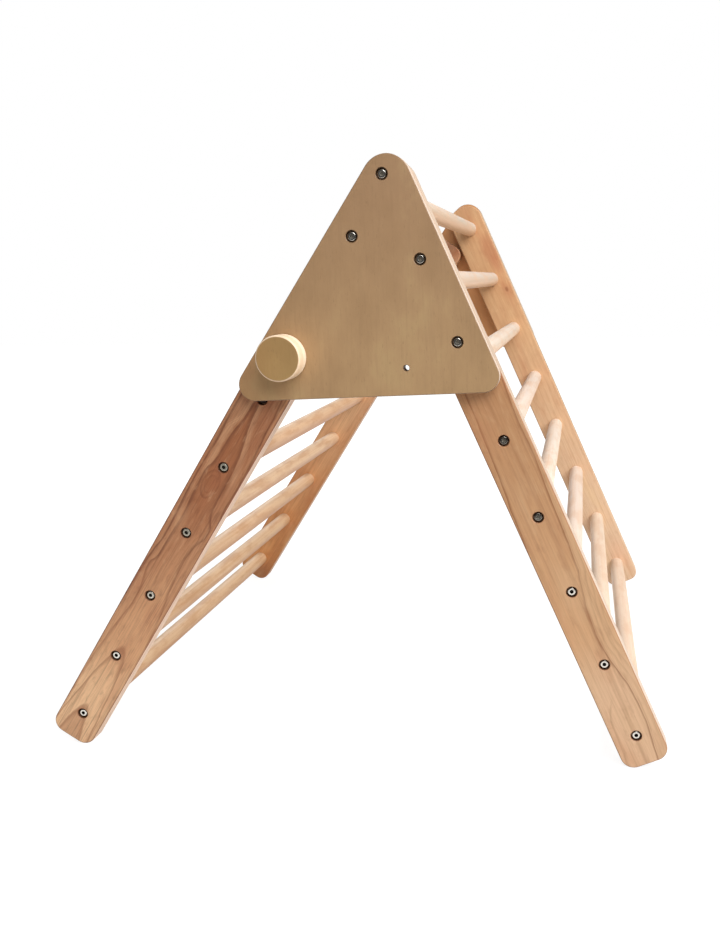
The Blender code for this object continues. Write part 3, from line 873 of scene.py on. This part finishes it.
SWING_FAR = far_wood(
    "swing_rail_far_wood", SWING_FOOT, SWING_UP, outer=1.0, seed=1.9,
    foot_tone=tint(232, 165, 105),
    top_tone=tint(252, 212, 169),
    pale=tint(242, 196, 144),
    dark=tint(150, 80, 36),
    warm=tint(192, 114, 66),
    # The edge colour is painted light
    edge=tint(210, 166, 126),
    inner_shade=0.3,
    marks=(
        # Painted shade at the foot
        ((-40.0, -20.0), 8.0, 26.0, 0.5, tint(132, 64, 28)),
        # Painted shade over the top end
        ((740.0, 0.0), 16.0, 30.0, 0.75, tint(150, 88, 58)),
    ),
)
FIXED_BEECH = beech(
    "pale_beech", FIXED_FOOT, FIXED_UP,
    pale=tint(240, 221, 199),
    warm=tint(233, 208, 188),
    streaked=tint(220, 182, 150),
    flecked=tint(200, 156, 122),
    # The colour above is a painted highlight, and the colour under is painted shade
    above=tint(236, 226, 218),
    under=tint(222, 172, 124),
)
SWING_BEECH = beech(
    "warm_beech", SWING_FOOT, SWING_UP,
    pale=tint(238, 206, 170),
    warm=tint(230, 192, 154),
    streaked=tint(202, 150, 106),
    flecked=tint(172, 120, 82),
    # The colour above is a painted highlight, and the colour under is painted shade
    above=tint(242, 214, 182),
    under=tint(188, 128, 80),
)
PLYWOOD = veneer(
    "birch_plywood", seed=2.0,
    top=tint(169, 133, 97),
    bottom=tint(184, 149, 107),
    dark=tint(148, 114, 78),
    # The back colour is painted warm bounce light
    back=tint(214, 151, 95),
    rim_light=tint(219, 200, 183),
    rim_dark=tint(204, 182, 161),
    layer=0.0014,
    rim_from=0.5,
    # Painted shade along the arris
    arris_shade=0.7,
)
KNOB_WOOD = veneer(
    "knob_wood", seed=6.0,
    top=tint(181, 147, 95),
    bottom=tint(179, 144, 92),
    dark=tint(154, 119, 72),
    back=tint(181, 147, 95),
    rim_light=tint(250, 228, 200),
    rim_dark=tint(240, 212, 180),
    layer=0.02,
    rim_from=0.9,
    arris_shade=0.0,
)
STEEL = plated_steel()
DARK_STEEL = shade_dark_steel()


# Wooden pieces


def drill(board, holes, face, side):
    """Sink the holes into a board's outer face. A hole is its place, its counterbore's depth, or
    zero for a plain bore, and how deep it goes."""
    cutters = []
    bore = BORE_DIAMETER / 2.0
    for x, z, counterbore, depth in holes:
        mouth = COUNTERBORE_DIAMETER / 2.0 if counterbore else bore
        profile = [(-HOLE_CHAMFER, mouth + 2.0 * HOLE_CHAMFER), (HOLE_CHAMFER, mouth)]
        if counterbore:
            profile += [(counterbore, mouth), (counterbore, bore)]
        profile.append((depth, bore))
        sections = [(face - side * below, radius) for below, radius in profile]
        cutters.append(turned("hole", sections, (x, 0.0, z)))
    combine(board, gather(cutters))
    # Mark the hole walls, where the woods paint shade
    mark_faces(board, HOLE_MARK, lambda wall: abs(wall.normal.y) < 0.5 and any(
        math.hypot(wall.center.x - x, wall.center.z - z) < COUNTERBORE_DIAMETER / 2.0 + TINY
        for x, z, _, _ in holes))


def rail_blank(name, top, top_radius):
    """A board along X from the foot to the top, with round corners and edges."""
    place = ((top - FOOT_REACH) / 2.0, 0.0, 0.0)
    board = cube(name, (top + FOOT_REACH, RAIL_THICKNESS, RAIL_WIDTH), place)
    edit(board)
    for end, radius in ((-FOOT_REACH, FOOT_RADIUS), (top, top_radius)):
        pick(board, "EDGE", lambda edge: all(abs(v.co.x - end) < TINY for v in edge.verts)
             and abs(edge.verts[0].co.y - edge.verts[1].co.y) > TINY)
        bevel(radius, CORNER_STEPS)
    pick_rims(board, RAIL_THICKNESS / 2.0)
    bevel(RAIL_EDGE_ROUND, ROUND_STEPS)
    done()
    return board


def along_ladder(point, foot, up):
    """A point's place on a rail, in the board's own X and Z."""
    away = Vector((point.x - foot.x, 0.0, point.z - foot.z))
    return away.dot(up), away.dot(outward(up))


def rail(ladder, side_name, side, finish):
    foot, up, top, top_radius = LADDERS[ladder]
    node = f"{ladder}_rail_{side_name}"
    through = RAIL_THICKNESS + CUT_OVERRUN
    holes = []
    for number in range(1, RUNGS[ladder] + 1):
        x, z = along_ladder(middle(f"{ladder}_rung_{number}"), foot, up)
        holes.append((x, z, RAIL_COUNTERBORE_DEPTH, through))
    if ladder == "fixed":
        bolts = [middle(f"panel_bolt_{side_name}_{number + 1}") for number in range(PANEL_BOLTS)]
        plain = [(bolt, PANEL_BOLT_GRIP) for bolt in bolts]
    else:
        plain = [(PIVOT, through), (LOCK, through)]
    for point, depth in plain:
        x, z = along_ladder(point, foot, up)
        holes.append((x, z, 0.0, depth))
    board = rail_blank(f"{node}_board", top, top_radius)
    drill(board, holes, side * RAIL_THICKNESS / 2.0, side)
    smooth(board)
    settle(board, Vector((foot.x, middle(node).y, foot.z)), lean_of(up))
    dress(board, finish, f"{ladder}_rail_wood", f"{ladder}_frame", node)


def rung(number, ladder, wood):
    node = f"{ladder}_rung_{number}"
    half = RUNG_LENGTH[ladder] / 2.0
    radius = span(node, 2) / 2.0
    dowel = rod(f"{node}_dowel", radius, 2.0 * half, sides=RUNG_SIDES)
    edit(dowel)
    pick(dowel, "FACE", lambda face: abs(face.normal.y) > 0.9)
    bpy.ops.mesh.inset(thickness=radius - BORE_DIAMETER / 2.0, use_individual=True)
    bpy.ops.mesh.extrude_region_move()
    mesh = bmesh.from_edit_mesh(dowel.data)
    for vertex in mesh.verts:
        if vertex.select:
            vertex.co.y -= math.copysign(BOLT_GRIP_IN_RUNG + CUT_OVERRUN, vertex.co.y)
    bmesh.update_edit_mesh(dowel.data)
    pick_rims(dowel, half, radius=radius)
    bevel(RUNG_END_ROUND, END_STEPS)
    done()
    smooth(dowel)
    centre = middle(node)
    settle(dowel, Vector((centre.x, 0.0, centre.z)))
    dress(dowel, wood, "rung_beech", f"{ladder}_frame", node)


def side_panel(side_name, side):
    node = f"side_panel_{side_name}"
    low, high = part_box(node)
    width = high[0] - low[0] + 2.0 * PANEL_BLANK_MARGIN
    height = high[2] - low[2] + 2.0 * PANEL_BLANK_MARGIN
    spot = middle(node)
    board = cube(f"{node}_plywood", (width, PANEL_THICKNESS, height), spot)
    outer = -outward(FIXED_UP)
    fixed_edge = FIXED_FOOT + outer * (RAIL_WIDTH / 2.0)
    left = outward(SWING_UP)
    at_pivot = PIVOT + left * PANEL_EDGE_AT_PIVOT
    beside_lock = PIVOT - SWING_UP * (PIVOT - LOCK).dot(SWING_UP)
    at_lock = beside_lock + left * PANEL_EDGE_AT_LOCK
    run = (at_pivot - at_lock).normalized()
    lower = Vector((PIVOT.x, 0.0, beside_lock.z - PANEL_BELOW_LOCK))
    tilt = Vector((-math.sin(PANEL_LOWER_EDGE_TILT), 0.0, math.cos(PANEL_LOWER_EDGE_TILT)))
    edit(board)
    for point, normal in ((fixed_edge, outer), (at_pivot, outward(run)), (lower, -tilt)):
        bpy.ops.mesh.select_all(action="SELECT")
        bpy.ops.mesh.bisect(plane_co=point, plane_no=normal, use_fill=True, clear_outer=True)
    face = PANEL_THICKNESS / 2.0
    along = Vector((tilt.z, 0.0, -tilt.x))
    corners = (
        (Vector((0.0, 0.0, 1.0)), PANEL_APEX_RADIUS, -FIXED_UP, -run),
        (Vector((1.0, 0.0, -1.0)), PANEL_CORNER_RADIUS, FIXED_UP, -along),
        (Vector((-1.0, 0.0, -1.0)), PANEL_CORNER_RADIUS, run, along),
    )
    for way, radius, first, second in corners:
        reach = max(v.co.dot(way) for v in bmesh.from_edit_mesh(board.data).verts)
        pick(board, "EDGE", lambda edge: all(v.co.dot(way) > reach - TINY for v in edge.verts))
        round_corner(radius, first.angle(second), CORNER_STEPS * 2)
    pick_rims(board, face, spot.y)
    bevel(PANEL_EDGE_ROUND, EDGE_STEPS)
    done()
    through = PANEL_THICKNESS + CUT_OVERRUN
    holes = [(PIVOT.x, PIVOT.z, PANEL_COUNTERBORE_DEPTH, through)]
    for number in range(1, PANEL_BOLTS + 1):
        bolt = middle(f"panel_bolt_{side_name}_{number}")
        holes.append((bolt.x, bolt.z, PANEL_COUNTERBORE_DEPTH, through))
    folded = PIVOT + Matrix.Rotation(-FOLD, 3, "Y") @ (LOCK - PIVOT)
    holes += [(LOCK.x, LOCK.z, 0.0, through), (folded.x, folded.z, 0.0, through)]
    drill(board, holes, spot.y + side * face, side)
    smooth(board)
    dress(board, PLYWOOD, "panel_plywood", "fixed_frame", node)


def round_disc(node, name, radius, sides, edge_round, steps):
    """A disc or bar along Y in a node's place, with rounded rims."""
    centre = middle(node)
    length = span(node, 1)
    disc = rod(name, radius, length, centre, sides)
    edit(disc)
    pick_rims(disc, length / 2.0, centre.y)
    bevel(edge_round, steps)
    done()
    return disc, centre, length


def knob(side_name, side):
    node = f"lock_knob_{side_name}"
    disc, centre, thickness = round_disc(
        node, f"{node}_disc", KNOB_DIAMETER / 2.0, KNOB_SIDES, KNOB_EDGE_ROUND, ROUND_STEPS)
    back = Vector((centre.x, centre.y - side * thickness / 2.0, centre.z))
    combine(disc, rod("stud_hole", BORE_DIAMETER / 2.0, 2.0 * STUD_HOLE_DEPTH, back))
    smooth(disc)
    dress(disc, KNOB_WOOD, "knob_wood", f"lock_{side_name}", node)


# Steel pieces


def cap_screw(grip):
    """A socket cap screw along Y: the head's seat at zero, the head towards -Y."""
    head = rod("cap_screw", BOLT_HEAD_DIAMETER / 2.0, BOLT_HEAD_HEIGHT,
               (0.0, -BOLT_HEAD_HEIGHT / 2.0, 0.0), SCREW_SIDES)
    edit(head)
    pick(head, "EDGE", lambda edge: all(v.co.y < -BOLT_HEAD_HEIGHT + TINY for v in edge.verts))
    bevel(BOLT_HEAD_CHAMFER, EDGE_STEPS)
    pick(head, "FACE", lambda face: face.normal.y > 0.9)
    bpy.ops.mesh.inset(thickness=(BOLT_HEAD_DIAMETER - BOLT_DIAMETER) / 2.0)
    bpy.ops.mesh.extrude_region_move(TRANSFORM_OT_translate={"value": (0.0, grip, 0.0)})
    pick(head, "EDGE", lambda edge: all(v.co.y > grip - TINY for v in edge.verts))
    bevel(BOLT_HEAD_CHAMFER, 1)
    done()
    corner = BOLT_SOCKET_FLATS / math.sqrt(3.0)
    socket = rod("socket", corner, 2.0 * BOLT_SOCKET_DEPTH, (0.0, -BOLT_HEAD_HEIGHT, 0.0), 6)
    combine(head, socket)
    rim = [(-BOLT_HEAD_HEIGHT - BOLT_SOCKET_RIM, corner + BOLT_SOCKET_RIM),
           (-BOLT_HEAD_HEIGHT + BOLT_SOCKET_RIM, corner - BOLT_SOCKET_RIM)]
    combine(head, turned("socket_rim", rim))
    # Mark the socket's inside, which the steel paints with shade low down and with light higher up
    mark_faces(head, SOCKET_MARK, lambda face: (
        TINY < face.center.y + BOLT_HEAD_HEIGHT < BOLT_SOCKET_DEPTH + TINY
        and math.hypot(face.center.x, face.center.z) < corner))
    smooth(head)
    return head


def place_screw(model, finish, node, seat, side, spot, turn, body, named=True):
    """Put a copy of a screw in its hole, turned a little further than the one before."""
    screw = copy_of(model, f"{node}_cap_screw")
    settle(screw, Vector((spot.x, side * seat, spot.z)), turn, math.pi if side > 0.0 else 0.0)
    dress(screw, finish, "plated_steel", body, *([node] if named else []))


def screws():
    rail_grip = RAIL_THICKNESS - RAIL_COUNTERBORE_DEPTH + 2.0 * SEAT_GAP + BOLT_GRIP_IN_RUNG
    panel_grip = PANEL_THICKNESS - PANEL_COUNTERBORE_DEPTH + 2.0 * SEAT_GAP + PANEL_BOLT_GRIP
    pivot_grip = span("pivot_bolt_near", 1) - BOLT_HEAD_HEIGHT
    models = [cap_screw(grip) for grip in (rail_grip, panel_grip, pivot_grip)]
    rung_screw, panel_screw, pivot_screw = models
    turn = 0.0
    for side_name, side in SIDES:
        for ladder in RUNGS:
            outer = abs(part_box(f"{ladder}_rail_near")[0][1])
            seat = outer - RAIL_COUNTERBORE_DEPTH + SEAT_GAP
            for number in range(1, RUNGS[ladder] + 1):
                node = f"{ladder}_rung_bolt_{side_name}_{number}"
                spot = middle(f"{ladder}_rung_{number}")
                turn += SCREW_TURN
                # Screws under and beside the panels get the dark steel, painted shade for the panels'
                # shadow
                finish = STEEL if number > SCREWS_IN_SHADE[ladder] else DARK_STEEL
                place_screw(rung_screw, finish, node, seat, side, spot, turn, f"{ladder}_frame",
                            number > RUNGS_COVERED[ladder])
        seat = abs(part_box("side_panel_near")[0][1]) - PANEL_COUNTERBORE_DEPTH + SEAT_GAP
        for number in range(1, PANEL_BOLTS + 1):
            node = f"panel_bolt_{side_name}_{number}"
            turn += SCREW_TURN
            place_screw(panel_screw, STEEL, node, seat, side, middle(node), turn, "fixed_frame")
        place_screw(pivot_screw, STEEL, f"pivot_bolt_{side_name}", seat, side, PIVOT,
                    turn + SCREW_TURN, "fixed_frame")
    for model in models:
        bpy.data.objects.remove(model, do_unlink=True)


def stud(side_name):
    node = f"lock_stud_{side_name}"
    bar, _, _ = round_disc(
        node, f"{node}_rod", span(node, 0) / 2.0, STUD_SIDES, STUD_END_ROUND, END_STEPS)
    smooth(bar)
    dress(bar, STEEL, "plated_steel", f"lock_{side_name}", node)


def washer(side_name):
    node = f"pivot_washer_{side_name}"
    ring, centre, thickness = round_disc(
        node, f"{node}_ring", span(node, 0) / 2.0, SCREW_SIDES, WASHER_EDGE_ROUND, END_STEPS)
    combine(ring, rod("washer_hole", BORE_DIAMETER / 2.0, 4.0 * thickness, centre, SCREW_SIDES))
    smooth(ring)
    dress(ring, STEEL, "plated_steel", "fixed_frame", node)


def nut(side_name, side):
    """A domed nut: a hexagon with a ball on its inner face."""
    node = f"pivot_nut_{side_name}"
    low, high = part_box(node)
    seat = low[1] if side < 0.0 else high[1]
    centre = Vector((PIVOT.x, seat - side * NUT_HEIGHT / 2.0, PIVOT.z))
    hexagon = rod(f"{node}_domed", NUT_FLATS / math.sqrt(3.0), NUT_HEIGHT, centre, 6)
    deselect()
    bpy.ops.mesh.primitive_uv_sphere_add(
        segments=STUD_SIDES,
        ring_count=STUD_SIDES // 2,
        radius=span(node, 1) - NUT_HEIGHT,
        location=(PIVOT.x, seat - side * NUT_HEIGHT, PIVOT.z),
    )
    dome = bpy.context.object
    keep_place()
    combine(hexagon, dome, "UNION")
    hole = rod("nut_hole", BORE_DIAMETER / 2.0, 2.0 * NUT_HEIGHT, (PIVOT.x, seat, PIVOT.z), STUD_SIDES)
    combine(hexagon, hole)
    smooth(hexagon)
    dress(hexagon, STEEL, "plated_steel", "fixed_frame", node)


# Floor, light and camera


def seen_directly(tree):
    """One for the rays that show the floor or the sky themselves, zero for those that light."""
    path = add_node(tree, "LightPath", {})
    seen = path.outputs["Is Camera Ray"]
    for kind in ("Is Glossy Ray", "Is Transmission Ray"):
        either = add_node(tree, "Math", {0: seen, 1: path.outputs[kind]})
        either.operation = "MAXIMUM"
        seen = either.outputs[0]
    return seen


def choose(tree, factor, first, second):
    """The first shader where the factor is zero, the second where it is one."""
    return add_node(tree, "MixShader", {0: factor, 1: first, 2: second}).outputs[0]


def lay_floor():
    """A white floor that ends behind the camera, where the room is dark. Seen directly it glows,
    so that it stays white, with only a faint shadow under the frame."""
    deselect()
    bpy.ops.mesh.primitive_plane_add(size=1.0, location=(0.0, FLOOR_BACK - FLOOR_DEPTH / 2.0, 0.0))
    floor = bpy.context.object
    floor.name = "floor"
    floor.scale = (FLOOR_WIDTH, FLOOR_DEPTH, 1.0)
    keep_place()
    paint = Finish("floor_paint", 0.9)
    tree = paint.tree
    x, y, _ = paint.parts(paint.place())
    under = paint.ramp(paint.distance(x, y), SHADOW_FROM, SHADOW_TO, FLOOR_GLOW_UNDER, 1.0)
    paint.colour(tint(200, 196, 190))
    faint = paint.node("BsdfDiffuse", {"Color": FLOOR_SEEN_GREY})
    glow = paint.node("Emission", {"Strength": under})
    both = paint.node("AddShader", {0: faint.outputs[0], 1: glow.outputs[0]})
    shown = choose(tree, seen_directly(tree), paint.shader.outputs[0], both.outputs[0])
    tree.links.new(shown, tree.nodes["Material Output"].inputs["Surface"])
    floor.data.materials.append(paint.material)


def light_room():
    """White behind the frame, soft light from all round, and a dim room for the steel to mirror."""
    world = bpy.context.scene.world or bpy.data.worlds.new("studio")
    bpy.context.scene.world = world
    world.use_nodes = True
    tree = world.node_tree
    path = add_node(tree, "LightPath", {})
    shade = add_node(tree, "Background", {"Color": WHITE, "Strength": ROOM_LIGHT}).outputs[0]
    for kind, strength in (("Is Glossy Ray", ROOM_MIRRORED), ("Is Camera Ray", 1.0),
                           ("Is Transmission Ray", 1.0)):
        other = add_node(tree, "Background", {"Color": WHITE, "Strength": strength})
        shade = choose(tree, path.outputs[kind], shade, other.outputs[0])
    tree.links.new(shade, tree.nodes["World Output"].inputs["Surface"])


def lamp(name, place, size, power):
    """A square soft lamp, in metres and watts, turned to the middle of the frame."""
    data = bpy.data.lights.new(name, "AREA")
    data.shape = "SQUARE"
    data.size = size
    data.energy = power
    item = bpy.data.objects.new(name, data)
    item.location = place
    aim = LAMP_AIM - Vector(place)
    item.rotation_euler = aim.to_track_quat("-Z", "Y").to_euler()
    bpy.context.scene.collection.objects.link(item)


def camera():
    data = bpy.data.cameras.new("photo_camera")
    data.sensor_width = SENSOR_WIDTH
    data.lens = FOCAL_PIXELS * SENSOR_WIDTH / PHOTO_HEIGHT
    data.shift_x = (PHOTO_WIDTH / 2.0 - CENTRE_RIGHT_PIXELS) / PHOTO_HEIGHT
    data.shift_y = (CENTRE_DOWN_PIXELS - PHOTO_HEIGHT / 2.0) / PHOTO_HEIGHT
    item = bpy.data.objects.new("photo_camera", data)
    right = Vector(CAMERA_RIGHT)
    up = Vector(CAMERA_UP)
    back = right.cross(up)
    turn = Matrix((right, up, back)).transposed().to_4x4()
    item.matrix_world = Matrix.Translation(CAMERA_PLACE) @ turn
    bpy.context.scene.collection.objects.link(item)
    bpy.context.scene.camera = item


def build():
    woods = {"near": (FIXED_NEAR, SWING_NEAR), "far": (FIXED_FAR, SWING_FAR)}
    for side_name, side in SIDES:
        for ladder, wood in zip(RUNGS, woods[side_name]):
            rail(ladder, side_name, side, wood)
        side_panel(side_name, side)
        knob(side_name, side)
        stud(side_name)
        washer(side_name)
        nut(side_name, side)
    for ladder, wood in zip(RUNGS, (FIXED_BEECH, SWING_BEECH)):
        for number in range(1, RUNGS[ladder] + 1):
            rung(number, ladder, wood)
    screws()
    lay_floor()
    light_room()
    for name, place, size, power in LAMPS:
        lamp(name, place, size, power)
    camera()
    bpy.context.scene.view_settings.view_transform = "Standard"


build()
